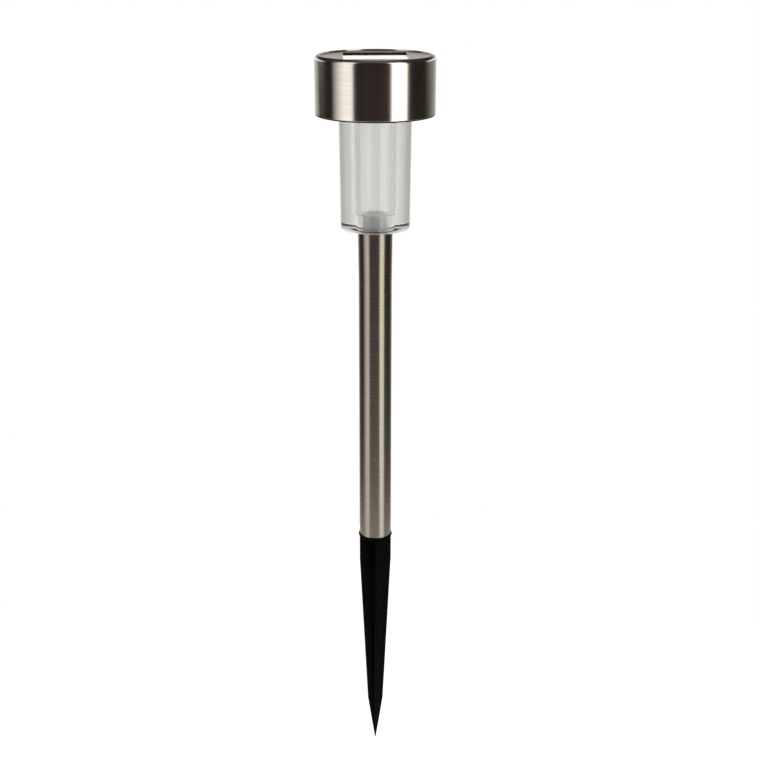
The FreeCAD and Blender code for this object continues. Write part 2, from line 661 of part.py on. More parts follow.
def switch_wires():
    """Two short leads from the first two switch terminals to the board."""
    low = COVER_TOP + SWITCH_BODY[2] + TERMINAL_HEIGHT
    rise = 0.6
    level = WIRE_LEVEL + rise
    board_y = 14.2
    leads = []
    for x in TERMINALS[:2]:
        leads.append(bent_wire([(x, SWITCH_Y, low), (x, SWITCH_Y, level), (x, board_y, level),
                                (x, board_y, CIRCUIT_TOP)], THIN_WIRE_RADIUS, THIN_WIRE_BEND))
    return Part.makeCompound(leads)


# --- assembly -----------------------------------------------------------------------------
FIXED_NODES = {
    "ground_spike": ground_spike,
    "pole_tube": pole_tube,
    "lens": lens,
    "lens_plug": lens_plug,
    "lens_seal": lens_seal,
}
HEAD_NODES = {
    "cap_shell": cap_shell,
    "cap_liner": cap_liner,
    "panel_gasket": panel_gasket,
    "panel_resin": panel_resin,
    "solar_cells": solar_cells,
    "panel_board": panel_board,
    "panel_tape": panel_tape,
    "housing": housing,
    "housing_cover": housing_cover,
    "cover_screws": cover_screws,
    "battery_can": battery_can,
    "battery_sleeve": battery_sleeve,
    "battery_plate": battery_plate,
    "battery_leaf": battery_leaf,
    "circuit_board": circuit_board,
    "driver_chip": driver_chip,
    "inductor": inductor,
    "resistor": resistor,
    "led_body": led_body,
    "led_leads": led_leads,
    "led_reflector": led_reflector,
    "switch_body": switch_body,
    "switch_terminals": switch_terminals,
    "switch_slider": switch_slider,
    "panel_wire_black": lambda: panel_wire(-1),
    "panel_wire_red": lambda: panel_wire(1),
    "battery_wire_black": lambda: battery_wire(-1),
    "battery_wire_red": lambda: battery_wire(1),
    "switch_wires": switch_wires,
}


def export(name, shape):
    if not shape.isValid():
        raise ValueError(name + " is not a valid solid")
    shape.exportStep(os.path.join("parts", name + ".step"))
    print(name, "%.1f mm3" % shape.Volume, len(shape.Solids), "solid(s)")


def main():
    os.makedirs("parts", exist_ok=True)
    for name, make in FIXED_NODES.items():
        export(name, make())
    for name, make in HEAD_NODES.items():
        export(name, turned(make(), HEAD_TURN))


main()
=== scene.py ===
import json
import math

import bmesh
import bpy
from mathutils import Matrix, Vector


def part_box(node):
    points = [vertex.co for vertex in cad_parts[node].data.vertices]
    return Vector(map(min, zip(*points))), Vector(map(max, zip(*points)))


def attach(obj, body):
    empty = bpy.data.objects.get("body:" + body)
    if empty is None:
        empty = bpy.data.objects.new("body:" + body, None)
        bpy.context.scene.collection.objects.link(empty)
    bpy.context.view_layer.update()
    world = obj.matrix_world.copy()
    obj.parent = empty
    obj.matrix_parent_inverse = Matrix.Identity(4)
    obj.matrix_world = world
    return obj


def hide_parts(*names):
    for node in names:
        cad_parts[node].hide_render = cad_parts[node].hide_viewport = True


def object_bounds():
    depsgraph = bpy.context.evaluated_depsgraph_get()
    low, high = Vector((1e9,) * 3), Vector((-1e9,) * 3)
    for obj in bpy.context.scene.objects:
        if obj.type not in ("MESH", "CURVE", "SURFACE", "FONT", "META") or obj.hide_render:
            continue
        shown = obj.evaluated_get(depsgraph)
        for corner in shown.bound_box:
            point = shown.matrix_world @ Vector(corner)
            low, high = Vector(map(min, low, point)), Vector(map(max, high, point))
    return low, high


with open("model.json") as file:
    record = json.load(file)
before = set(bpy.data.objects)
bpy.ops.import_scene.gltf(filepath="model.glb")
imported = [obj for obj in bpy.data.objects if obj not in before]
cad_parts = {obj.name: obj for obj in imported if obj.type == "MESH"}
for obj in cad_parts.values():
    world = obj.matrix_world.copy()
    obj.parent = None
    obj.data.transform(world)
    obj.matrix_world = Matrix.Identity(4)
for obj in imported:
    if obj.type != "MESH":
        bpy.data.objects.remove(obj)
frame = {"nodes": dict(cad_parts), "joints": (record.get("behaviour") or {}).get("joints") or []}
CAD_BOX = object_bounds()

MM = 0.001
NODES = frame["nodes"]

# --- camera, as the photograph was taken ---------------------------------------------------
CAMERA_DISTANCE = 636.4 * MM     # from the pole's axis, measured level
CAMERA_ABOVE_CAP = 63.7 * MM
CAMERA_PITCH = 19.19             # degrees down
CAMERA_LENS = 64.35              # mm on a 36 mm sensor
CAMERA_SIDE_SHIFT = 0.0062       # puts the pole a little left of the middle

ROUND_STEPS = 256                # segments round the large turned pieces
SMALL_STEPS = 96
TINY_STEPS = 48
SHARP_ANGLE = 35                 # degrees between faces that stay crisp

# --- sizes of the CAD parts that a box doesn't give, in metres -------------------------------
POLE_RADIUS = 8.0 * MM
SHEET = 0.5 * MM                 # of the cap and of the pole
FLARE_LENGTH = 26.0 * MM
SHOULDER = 1.9 * MM
FACE_SET_IN = 2.3 * MM           # from the cap's side to its sunken face
FACE_DROP = 0.5 * MM
UPWARD = 0.55                    # steel whose normal rises more than this gets the darker top steel: painted shade
WINDOW_HALF = 15.0 * MM
WINDOW_CORNER = 0.6 * MM
PANEL_HALF = 16.5 * MM
CELL_HALF = 14.5 * MM
CELL_COUNT = 4
CELL_GAP = 0.3 * MM
LENS_BOTTOM_RADIUS = 16.4 * MM
LENS_EDGE = 1.1 * MM
BORE_RADIUS = 7.2 * MM
BORE_TOP_RADIUS = 7.6 * MM
BORE_ROUND = 0.8 * MM
BORE_FLUTES = 16
FLUTE_DEPTH = 0.035 * MM
LENS_FLOOR = 7.6 * MM
PLUG_RADIUS = 7.42 * MM          # of the lens and of the spike, inside the pole
PLUG_LEAD = 1.5 * MM
PLUG_TAPER = 0.8 * MM
INSERT_HOLE_RADIUS = 6.1 * MM    # through the lens floor, filled by the clear plug
INSERT_GAP = 0.05 * MM
INSERT_STEP = 0.15 * MM
INSERT_STEP_HEIGHTS = (2.0 * MM, 4.4 * MM)
PLUG_HOLLOW_RADIUS = 4.9 * MM
PLUG_ROOF = 1.0 * MM
COLLAR_RADIUS = 8.5 * MM
COLLAR_HEIGHT = 1.2 * MM
SPIKE_TURN = math.radians(12.0)
BLADE_HALF = 1.1 * MM

slide_axis = next(joint["axis"] for joint in frame["joints"] if joint["name"] == "switch_slide")
HEAD_TURN = math.atan2(slide_axis[1], slide_axis[0])


# --- mesh helpers: a shell is (vertices, faces) ----------------------------------------------
def arc(centre, radius, start, end, steps=8):
    """Points of an arc in the (radius, height) plane, angles in degrees."""
    points = []
    for i in range(steps + 1):
        angle = math.radians(start + (end - start) * i / steps)
        points.append((centre[0] + radius * math.cos(angle), centre[1] + radius * math.sin(angle)))
    return points


def bridge(lower, upper, steps):
    """Quads between two loops of the same length, given their first vertex numbers."""
    return [(lower + i, lower + (i + 1) % steps, upper + (i + 1) % steps, upper + i)
            for i in range(steps)]


def turned(outline, steps=ROUND_STEPS, closed=True):
    """Shell from an outline of (radius, height) points. A radius of 0 closes to a point."""
    vertices = []
    starts = []
    for radius, height in outline:
        starts.append((len(vertices), radius > 0))
        if radius > 0:
            vertices += [(radius * math.cos(math.tau * i / steps), radius * math.sin(math.tau * i / steps),
                          height) for i in range(steps)]
        else:
            vertices.append((0.0, 0.0, height))
    pairs = list(zip(starts, starts[1:]))
    if closed:
        pairs.append((starts[-1], starts[0]))
    faces = []
    for (a, a_ring), (b, b_ring) in pairs:
        if a_ring and b_ring:
            faces += bridge(a, b, steps)
        elif a_ring:
            faces += [(a + i, a + (i + 1) % steps, b) for i in range(steps)]
        elif b_ring:
            faces += [(a, b + (i + 1) % steps, b + i) for i in range(steps)]
    return vertices, faces


def loft(rings):
    """Shell through closed rings of the same number of points, with flat ends."""
    steps = len(rings[0])
    vertices = [point for ring in rings for point in ring]
    faces = [quad for level in range(len(rings) - 1)
             for quad in bridge(level * steps, (level + 1) * steps, steps)]
    last = (len(rings) - 1) * steps
    return vertices, faces + [tuple(range(steps)), tuple(range(last, last + steps))]


def rounded_block(low, high, edge):
    """Shell of a box with rounded edges."""
    shell = bmesh.new()
    size = [b - a for a, b in zip(low, high)]
    centre = [(a + b) / 2 for a, b in zip(low, high)]
    place = Matrix.Translation(centre) @ Matrix.Diagonal((*size, 1.0))
    bmesh.ops.create_cube(shell, size=1.0, matrix=place)
    bmesh.ops.bevel(shell, geom=list(shell.edges), offset=edge, segments=3, profile=0.5, affect="EDGES")
    shell.verts.index_update()
    vertices = [tuple(vertex.co) for vertex in shell.verts]
    faces = [tuple(vertex.index for vertex in face.verts) for face in shell.faces]
    shell.free()
    return vertices, faces


def moved(shell, x, y):
    vertices, faces = shell
    return [(a + x, b + y, c) for a, b, c in vertices], faces


def piece_from(name, shells, body, replaces, slot, *materials, turn=0.0):
    """One object from closed shells, with its body, the CAD nodes it stands for and its finish."""
    mesh = bpy.data.meshes.new(name)
    vertices = []
    faces = []
    for shell_vertices, shell_faces in shells:
        start = len(vertices)
        vertices += shell_vertices
        faces += [tuple(start + index for index in face) for face in shell_faces]
    mesh.from_pydata(vertices, [], faces)
    mesh.transform(Matrix.Rotation(turn, 4, "Z"))
    skin = bmesh.new()
    skin.from_mesh(mesh)
    bmesh.ops.recalc_face_normals(skin, faces=skin.faces)
    skin.to_mesh(mesh)
    skin.free()
    mesh.shade_smooth()
    mesh.set_sharp_from_angle(angle=math.radians(SHARP_ANGLE))
    for material in materials:
        mesh.materials.append(material)
    piece = bpy.data.objects.new(name, mesh)
    bpy.context.scene.collection.objects.link(piece)
    if body:
        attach(piece, body)
    if replaces:
        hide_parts(*replaces)
    return piece


# --- material helpers ----------------------------------------------------------------------
class Look:
    """A material under construction: one Principled shader and what feeds it."""

    def __init__(self, name, **settings):
        self.material = bpy.data.materials.new(name)
        self.material.use_nodes = True
        self.tree = self.material.node_tree
        self.shader = self.tree.nodes["Principled BSDF"]
        for socket, value in settings.items():
            self.shader.inputs[socket.replace("_", " ")].default_value = value

    def node(self, kind, **settings):
        node = self.tree.nodes.new("ShaderNode" + kind)
        for key, value in settings.items():
            if key in node.bl_rna.properties:
                setattr(node, key, value)
            else:
                node.inputs[key.replace("_", " ")].default_value = value
        return node

    def link(self, source, target):
        self.tree.links.new(source, target)

    def place(self, stretch):
        mapping = self.node("Mapping", Scale=stretch)
        self.link(self.node("TexCoord").outputs["Object"], mapping.inputs["Vector"])
        return mapping.outputs["Vector"]

    def noise(self, stretch, detail=4.0, roughness=0.6):
        """Noise in object space; stretch is how many cycles per metre along each axis."""
        texture = self.node("TexNoise", Scale=1.0, Detail=detail, Roughness=roughness)
        self.link(self.place(stretch), texture.inputs["Vector"])
        return texture.outputs["Fac"]

    def grains(self, stretch, output="Distance"):
        """Rounded cells in object space, for foam, granules and crystals."""
        texture = self.node("TexVoronoi", Scale=1.0)
        self.link(self.place(stretch), texture.inputs["Vector"])
        return texture.outputs[output]

    def ramp(self, value, stops, interpolation="LINEAR"):
        ramp = self.node("ValToRGB")
        ramp.color_ramp.interpolation = interpolation
        elements = ramp.color_ramp.elements
        while len(elements) < len(stops):
            elements.new(0.5)
        for element, (position, colour) in zip(elements, stops):
            element.position = position
            element.color = (*colour, 1.0)
        self.link(value, ramp.inputs["Fac"])
        return ramp.outputs["Color"]

    def spread(self, value, low, high, out_low, out_high):
        scale = self.node("MapRange")
        scale.inputs["From Min"].default_value = low
        scale.inputs["From Max"].default_value = high
        scale.inputs["To Min"].default_value = out_low
        scale.inputs["To Max"].default_value = out_high
        self.link(value, scale.inputs["Value"])
        return scale.outputs["Result"]

    def colour(self, value, dark, light, low=0.3, high=0.7):
        self.link(self.ramp(value, [(low, dark), (high, light)]), self.shader.inputs["Base Color"])

    def rough(self, value, smooth, rough, low=0.3, high=0.7):
        self.link(self.spread(value, low, high, smooth, rough), self.shader.inputs["Roughness"])

    def bump(self, value, distance, strength=1.0):
        bump = self.node("Bump", Distance=distance, Strength=strength)
        self.link(value, bump.inputs["Height"])
        self.link(bump.outputs["Normal"], self.shader.inputs["Normal"])


def brushed_steel(name, stretch, dark, light, smooth=0.16, rough=0.22, anisotropic=0.8):
    """Steel with fine brushing; stretch sets which way the scratches run."""
    look = Look(name, Metallic=1.0, Anisotropic=anisotropic, Anisotropic_Rotation=0.25)
    tangent = look.node("Tangent", direction_type="RADIAL", axis="Z")
    look.link(tangent.outputs["Tangent"], look.shader.inputs["Tangent"])
    scratches = look.noise(stretch, detail=6.0, roughness=0.7)
    look.colour(scratches, dark, light)
    look.rough(scratches, smooth, rough)
    look.bump(scratches, 0.000003, 0.15)
    return look.material


def clear_plastic(name, tint, shade, roughness=(0.0, 0.04), ior=1.49, clarity=1.0):
    """Clear moulding: faint flow marks and a slightly uneven polish; less clarity is a milky haze."""
    look = Look(name, Transmission_Weight=clarity, IOR=ior)
    flow = look.noise((60, 60, 14), detail=3.0)
    look.colour(flow, shade, tint)
    look.rough(flow, *roughness)
    look.bump(flow, 0.00002, 0.15)
    return look.material


def moulded_plastic(name, dark, light, smooth=0.38, rough=0.55, specular=0.45, depth=0.00002):
    """Satin moulding with fine spark-eroded grain."""
    look = Look(name, Specular_IOR_Level=specular)
    patches = look.noise((70, 70, 45), detail=3.0)
    look.colour(patches, dark, light)
    look.rough(patches, smooth, rough)
    look.bump(look.noise((2600, 2600, 2600), detail=3.0), depth, 0.5)
    return look.material


def plated_metal(name, dark, light, smooth=0.12, rough=0.3):
    look = Look(name, Metallic=1.0)
    marks = look.noise((1500, 1500, 400), detail=5.0)
    look.colour(marks, dark, light)
    look.rough(marks, smooth, rough)
    look.bump(marks, 0.00001, 0.3)
    return look.material


def foam(name, dark, light):
    """Closed-cell foam: small round cells, no gloss."""
    look = Look(name, Specular_IOR_Level=0.2)
    cells = look.grains((3500, 3500, 3500))
    look.colour(cells, dark, light, 0.0, 0.6)
    look.rough(cells, 0.8, 0.98, 0.0, 0.6)
    look.bump(cells, 0.00006, 0.8)
    return look.material


def insulation(name, dark, light):
    """Soft wire insulation with drag marks from its extrusion."""
    look = Look(name, Specular_IOR_Level=0.4)
    drag = look.noise((900, 900, 900), detail=2.0)
    look.colour(drag, dark, light)
    look.rough(drag, 0.35, 0.6)
    look.bump(drag, 0.00001, 0.4)
    return look.material


def silicon():
    """Dark blue-black cell with crystal flakes under a glossy coat."""
    look = Look("solar_silicon", Coat_Weight=0.6, Coat_Roughness=0.08, Specular_IOR_Level=0.6)
    flakes = look.grains((420, 420, 420), "Color")
    look.colour(flakes, (0.006, 0.010, 0.035), (0.022, 0.034, 0.085), 0.1, 0.9)
    look.rough(look.noise((2200, 2200, 2200)), 0.22, 0.4)
    look.bump(look.noise((9000, 9000, 9000), detail=1.0), 0.000002, 0.5)
    return look.material


def board_green(name, dark, light):
    """Glass-filled board: solder mask over faint copper tracks and weave."""
    look = Look(name, Specular_IOR_Level=0.5)
    tracks = look.node("TexBrick", Scale=1.0, Mortar_Size=0.09)
    tracks.inputs["Color1"].default_value = (*dark, 1.0)
    tracks.inputs["Color2"].default_value = (*dark, 1.0)
    tracks.inputs["Mortar"].default_value = (*light, 1.0)
    look.link(look.place((420, 420, 420)), tracks.inputs["Vector"])
    look.link(tracks.outputs["Color"], look.shader.inputs["Base Color"])
    weave = look.noise((2400, 2400, 500), detail=2.0)
    look.rough(weave, 0.28, 0.45)
    look.bump(weave, 0.00001, 0.5)
    return look.material


def banded_resistor():
    """Beige lacquer with coloured rings on the body, and tinned legs beyond it."""
    look = Look("resistor_lacquer")
    split = look.node("SeparateXYZ")
    look.link(look.node("TexCoord").outputs["Object"], split.inputs["Vector"])
    body_half = 1.9 * MM
    along = look.spread(split.outputs["X"], -body_half, body_half, 0.1, 0.9)
    lacquer = (0.55, 0.42, 0.24)
    tin = (0.6, 0.6, 0.58)
    brown = (0.30, 0.09, 0.02)
    black = (0.01, 0.01, 0.01)
    red = (0.45, 0.03, 0.02)
    gold = (0.5, 0.3, 0.05)
    bands = [(0.0, tin), (0.1, lacquer), (0.2, brown), (0.29, lacquer), (0.38, black), (0.47, lacquer),
             (0.56, red), (0.65, lacquer), (0.78, gold), (0.84, lacquer), (0.9, tin)]
    look.link(look.ramp(along, bands, "CONSTANT"), look.shader.inputs["Base Color"])
    gloss = look.noise((1800, 1800, 1800))
    look.rough(gloss, 0.2, 0.35)
    look.bump(gloss, 0.00001, 0.3)
    return look.material


# --- materials -----------------------------------------------------------------------------
CAP_SIDE = brushed_steel("cap_side_steel", (55, 55, 9000), (0.50, 0.455, 0.41), (0.72, 0.675, 0.62))
# darker copy of the cap's steel for its upward faces: painted shade, with straight brushing and a rougher
# gloss
CAP_TOP_SHADED = brushed_steel("cap_top_steel_painted_shade", (70, 8000, 300), (0.30, 0.27, 0.24), (0.42, 0.385, 0.35),
                         smooth=0.3, rough=0.38, anisotropic=0.3)
POLE_STEEL = brushed_steel("pole_tube_steel", (60, 60, 8000), (0.285, 0.25, 0.21),
                           (0.345, 0.305, 0.26), smooth=0.25, rough=0.31)
LENS_CLEAR = clear_plastic("lens_acrylic", (0.985, 0.99, 0.98), (0.96, 0.965, 0.95), clarity=0.94)
PLUG_CLEAR = clear_plastic("plug_acrylic", (0.98, 0.985, 0.975), (0.95, 0.955, 0.94), clarity=0.3)
RESIN_CLEAR = clear_plastic("panel_resin_clear", (0.95, 0.96, 0.93), (0.90, 0.91, 0.86),
                            roughness=(0.02, 0.08), ior=1.52)
LED_CLEAR = clear_plastic("led_epoxy", (0.97, 0.98, 0.97), (0.92, 0.93, 0.92), ior=1.53)
SEAL_CLEAR = clear_plastic("seal_silicone", (0.86, 0.87, 0.86), (0.76, 0.77, 0.76),
                           roughness=(0.35, 0.55), ior=1.41)
SPIKE_BLACK = moulded_plastic("spike_black", (0.001, 0.001, 0.001), (0.0025, 0.0025, 0.0025),
                              smooth=0.5, rough=0.65, specular=0.035)
HOUSING_BLACK = moulded_plastic("housing_black", (0.008, 0.008, 0.008), (0.018, 0.018, 0.018))
# black plastic made darker and less glossy than the housing: partly painted shade for the line under the
# cap's edge
LINER_SHADE_BLACK = moulded_plastic("liner_black_painted_shade", (0.001, 0.001, 0.001), (0.003, 0.003, 0.003), specular=0.05)
KNOB_BLACK = moulded_plastic("knob_black", (0.012, 0.012, 0.012), (0.028, 0.028, 0.028), smooth=0.3)
CHIP_BLACK = moulded_plastic("chip_epoxy", (0.010, 0.010, 0.011), (0.022, 0.022, 0.023), smooth=0.5,
                             rough=0.7)
REFLECTOR_WHITE = moulded_plastic("reflector_white", (0.78, 0.78, 0.76), (0.88, 0.88, 0.86), smooth=0.12,
                                  rough=0.25, specular=0.6)
BATTERY_FILM = moulded_plastic("battery_film_green", (0.02, 0.16, 0.06), (0.03, 0.22, 0.09), smooth=0.12,
                               rough=0.28, specular=0.5)
FERRITE = moulded_plastic("ferrite_dark", (0.03, 0.026, 0.025), (0.06, 0.05, 0.045), smooth=0.5, rough=0.75)
GASKET_BLACK = foam("gasket_foam_black", (0.004, 0.004, 0.004), (0.012, 0.012, 0.012))
TAPE_WHITE = foam("tape_foam_white", (0.55, 0.54, 0.50), (0.74, 0.73, 0.69))
SCREW_ZINC = plated_metal("screw_zinc", (0.48, 0.49, 0.50), (0.68, 0.69, 0.70))
BATTERY_NICKEL = plated_metal("battery_nickel", (0.55, 0.54, 0.51), (0.74, 0.73, 0.70), 0.1, 0.24)
CONTACT_NICKEL = plated_metal("contact_nickel", (0.56, 0.54, 0.48), (0.76, 0.73, 0.66))
LEAD_TIN = plated_metal("lead_tin", (0.60, 0.60, 0.58), (0.78, 0.78, 0.76), 0.2, 0.4)
SWITCH_STEEL = plated_metal("switch_steel", (0.50, 0.50, 0.49), (0.68, 0.68, 0.66))
COPPER = plated_metal("winding_copper", (0.50, 0.20, 0.08), (0.72, 0.34, 0.15), 0.15, 0.3)
GRID_SILVER = plated_metal("cell_grid_silver", (0.62, 0.62, 0.60), (0.80, 0.80, 0.78), 0.3, 0.5)
WIRE_RED = insulation("wire_red", (0.36, 0.012, 0.010), (0.50, 0.022, 0.018))
WIRE_BLACK = insulation("wire_black", (0.006, 0.006, 0.006), (0.014, 0.014, 0.014))
SILICON = silicon()
CIRCUIT_GREEN = board_green("circuit_green", (0.012, 0.085, 0.030), (0.030, 0.160, 0.060))
PANEL_BOARD = board_green("panel_board_pale", (0.42, 0.44, 0.40), (0.50, 0.52, 0.47))
RESISTOR = banded_resistor()


# --- cap and solar panel ---------------------------------------------------------------------
def rounded_square(half, corner, height, steps):
    """Ring on a square with rounded corners, one point in each of a circle's directions."""
    points = []
    inner = half - corner
    for i in range(steps):
        angle = math.tau * i / steps
        x, y = math.cos(angle), math.sin(angle)
        reach = half / max(abs(x), abs(y))
        px, py = x * reach, y * reach
        if abs(px) > inner and abs(py) > inner:
            cx, cy = math.copysign(inner, px), math.copysign(inner, py)
            along = x * cx + y * cy
            away = cx * cx + cy * cy - corner * corner
            reach = along + math.sqrt(max(along * along - away, 0.0))
            px, py = x * reach, y * reach
        points.append((px, py, height))
    return points


def cap():
    low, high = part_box("cap_shell")
    radius = high.x
    edge = 0.12 * MM
    face = radius - FACE_SET_IN
    centre = (radius - SHOULDER, high.z - SHOULDER)
    face_z = high.z - FACE_DROP
    outline = [(centre[0], face_z - SHEET), (centre[0], high.z - SHEET)]
    outline += arc(centre, SHOULDER - SHEET, 90, 0)
    outline += [(radius - SHEET, low.z), (radius - edge, low.z), (radius, low.z + edge)]
    outline += arc(centre, SHOULDER, 0, 86, 14)
    outline += arc((face + edge, high.z - edge), edge, 90, 180, 4)
    outline += arc((face - edge, face_z + edge), edge, 0, -90, 4)
    steps = ROUND_STEPS
    vertices, faces = turned(outline, steps, closed=False)
    for half, z in ((WINDOW_HALF + edge, face_z), (WINDOW_HALF, face_z - edge),
                    (WINDOW_HALF, face_z - SHEET)):
        vertices += rounded_square(half, WINDOW_CORNER, z, steps)
    loops = len(vertices) // steps
    for loop in range(len(outline) - 1, loops):
        faces += bridge(loop * steps, (loop + 1) % loops * steps, steps)
    piece = piece_from("cap", [(vertices, faces)], "head", ["cap_shell"], "cap_steel", CAP_SIDE, CAP_TOP_SHADED,
                       turn=HEAD_TURN)
    # faces turned upward take the darker steel: painted shade on the top and the upper shoulder
    for polygon in piece.data.polygons:
        if polygon.normal.z > UPWARD:
            polygon.material_index = 1


def liner():
    """Black ring with the rounded lip that shows as a thin line under the steel; its near-black, almost
    glossless plastic is partly painted shade for that line.
    """
    low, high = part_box("cap_liner")
    lip = high.x
    lip_reach = 0.40 * MM
    wall = 1.0 * MM
    outer = lip - lip_reach
    inner = outer - wall
    lip_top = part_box("cap_shell")[0].z
    edge = 0.3 * MM
    small = 0.15 * MM
    outline = arc((inner + small, low.z + small), small, 180, 270, 4)
    outline += arc((lip - edge, low.z + edge), edge, -90, 0)
    outline += [(lip, lip_top), (outer, lip_top), (outer, high.z - small), (outer - small, high.z)]
    outline += [(inner + small, high.z), (inner, high.z - small)]
    piece_from("liner", [turned(outline)], "head", ["cap_liner"], "housing_plastic", LINER_SHADE_BLACK)


def resin():
    """Cast clear pad with a soft edge and a slightly crowned top."""
    low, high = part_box("panel_resin")
    corner = 0.8 * MM
    crown = [(0.0, -0.30), (0.12, -0.14), (0.35, -0.06), (1.5, -0.03), (8.0, -0.008), (16.0, 0.0)]
    rings = [rounded_square(PANEL_HALF, corner, low.z, SMALL_STEPS)]
    rings += [rounded_square(PANEL_HALF - inset * MM, min(corner, (PANEL_HALF - inset * MM) / 2),
                             high.z + drop * MM, SMALL_STEPS) for inset, drop in crown]
    piece_from("resin", [loft(rings)], "head", ["panel_resin"], "panel_resin", RESIN_CLEAR, turn=HEAD_TURN)


def cells():
    """Four silicon strips, with two busbars and a comb of thin fingers printed on each."""
    low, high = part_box("solar_cells")
    print_room = 0.06 * MM
    top = high.z - print_room
    width = (2 * CELL_HALF - (CELL_COUNT - 1) * CELL_GAP) / CELL_COUNT
    print_height = 0.03 * MM
    print_edge = 0.01 * MM
    cell_edge = 0.05 * MM
    busbar_inset, finger_inset = 0.4 * MM, 0.3 * MM
    busbar_places = (0.27, 0.73)
    finger_half, busbar_half = 0.05 * MM, 0.3 * MM
    finger_pitch = 1.45 * MM
    finger_count = 19
    strips = []
    grid = []
    for index in range(CELL_COUNT):
        left = -CELL_HALF + index * (width + CELL_GAP)
        right = left + width
        strips.append(rounded_block((left, -CELL_HALF, low.z), (right, CELL_HALF, top), cell_edge))
        for place in busbar_places:
            x = left + place * width
            grid.append(rounded_block((x - busbar_half, -CELL_HALF + busbar_inset, top),
                                      (x + busbar_half, CELL_HALF - busbar_inset, top + print_height),
                                      print_edge))
        for finger in range(finger_count):
            y = (finger - (finger_count - 1) / 2) * finger_pitch
            grid.append(rounded_block((left + finger_inset, y - finger_half, top),
                                      (right - finger_inset, y + finger_half, top + print_height),
                                      print_edge))
    piece_from("cells", strips, "head", ["solar_cells"], "silicon", SILICON, turn=HEAD_TURN)
    piece_from("cell_grid", grid, "head", None, "lead_metal", GRID_SILVER, turn=HEAD_TURN)


# --- lens, seal and pole ---------------------------------------------------------------------
def fluted(x, y, z):
    """A point of the bore, moved out where one of its fine upright grooves runs."""
    radius = math.hypot(x, y)
    if radius > BORE_TOP_RADIUS:
        return x, y, z
    wave = math.cos(BORE_FLUTES * math.atan2(y, x))
    scale = 1 + FLUTE_DEPTH / radius * max(wave, 0.0) ** 4
    return x * scale, y * scale, z


def lens():
    """Thick clear tube: narrow bore, and a deep floor with a smaller hole through it."""
    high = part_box("lens")[1]
    cap_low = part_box("cap_liner")[0].z
    pole_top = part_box("pole_tube")[1].z
    floor_top = pole_top + LENS_FLOOR
    slope = (high.x - LENS_BOTTOM_RADIUS) / (cap_low - pole_top)
    edge_radius = LENS_BOTTOM_RADIUS + slope * LENS_EDGE
    rim = 0.25 * MM
    outline = [(INSERT_HOLE_RADIUS, floor_top)]
    outline += arc((BORE_RADIUS - BORE_ROUND, floor_top + BORE_ROUND), BORE_ROUND, -90, 0)
    outline += arc((BORE_TOP_RADIUS + rim, high.z - rim), rim, 180, 90, 3)
    outline += arc((high.x - rim, high.z - rim), rim, 90, 0, 3)
    outline += [(high.x, cap_low)]
    outline += arc((edge_radius - LENS_EDGE, pole_top + LENS_EDGE), LENS_EDGE, 0, -90)
    outline += [(INSERT_HOLE_RADIUS, pole_top)]
    vertices, faces = turned(outline)
    vertices = [fluted(x, y, z) if z > floor_top + BORE_ROUND / 2 else (x, y, z) for x, y, z in vertices]
    piece_from("clear_lens", [(vertices, faces)], "lens", ["lens"], "lens_clear", LENS_CLEAR)


def plug():
    """Hollow clear plug, stepped where it fills the lens floor and wider inside the pole."""
    low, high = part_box("lens_plug")
    pole_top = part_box("pole_tube")[1].z
    outline = [(PLUG_HOLLOW_RADIUS, low.z), (PLUG_RADIUS - PLUG_TAPER, low.z)]
    outline += [(PLUG_RADIUS, low.z + PLUG_LEAD), (PLUG_RADIUS, pole_top)]
    radius = INSERT_HOLE_RADIUS - INSERT_GAP
    outline += [(radius, pole_top)]
    for height in INSERT_STEP_HEIGHTS:
        outline += [(radius, pole_top + height), (radius - INSERT_STEP, pole_top + height)]
        radius -= INSERT_STEP
    roof = high.z - PLUG_ROOF
    outline += [(radius, high.z), (0, high.z), (0, roof), (PLUG_HOLLOW_RADIUS, roof)]
    piece_from("clear_plug", [turned(outline)], "lens", ["lens_plug"], "lens_clear", PLUG_CLEAR)


def seal():
    """Silicone ring with three soft beads on its outer face."""
    low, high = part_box("lens_seal")
    outer = high.x
    fit = 0.08 * MM
    edge = 0.1 * MM
    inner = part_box("lens")[1].x + fit
    beads = 3
    bead_depth = 0.25 * MM
    pitch = (high.z - low.z) / beads
    reach = pitch / 2.2
    outline = [(inner, low.z + edge), (inner + edge, low.z)]
    for bead in range(beads):
        centre_z = low.z + (bead + 0.5) * pitch
        outline += [(outer - bead_depth * (1 - math.cos(math.radians(angle))), centre_z + reach * angle / 90)
                    for angle in (-80, -40, 0, 40, 80)]
    outline += [(inner + edge, high.z), (inner, high.z - edge)]
    piece_from("seal_ring", [turned(outline)], "seal", ["lens_seal"], "seal_clear", SEAL_CLEAR)


def pole():
    low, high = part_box("pole_tube")
    edge = 0.12 * MM
    flare = high.z - FLARE_LENGTH
    outline = [(POLE_RADIUS - SHEET, low.z), (POLE_RADIUS - edge, low.z), (POLE_RADIUS, low.z + edge)]
    outline += [(POLE_RADIUS, flare), (high.x, high.z - edge), (high.x - edge, high.z)]
    outline += [(high.x - SHEET, high.z), (POLE_RADIUS - SHEET, flare)]
    piece_from("pole", [turned(outline)], "pole", ["pole_tube"], "pole_steel", POLE_STEEL)


# --- spike -----------------------------------------------------------------------------------
def cross_ring(reach, half, height):
    """Ring round a cross of four arms with rounded ends."""
    corner = half * 0.3
    arm = [(half, -half)]
    arm += arc((reach - corner, -half + corner), corner, -90, 0, 3)
    arm += arc((reach - corner, half - corner), corner, 0, 90, 3)
    points = []
    for quarter in range(4):
        angle = math.tau * quarter / 4
        turn_cos, turn_sin = math.cos(angle), math.sin(angle)
        points += [(x * turn_cos - y * turn_sin, x * turn_sin + y * turn_cos, height) for x, y in arm]
    return points


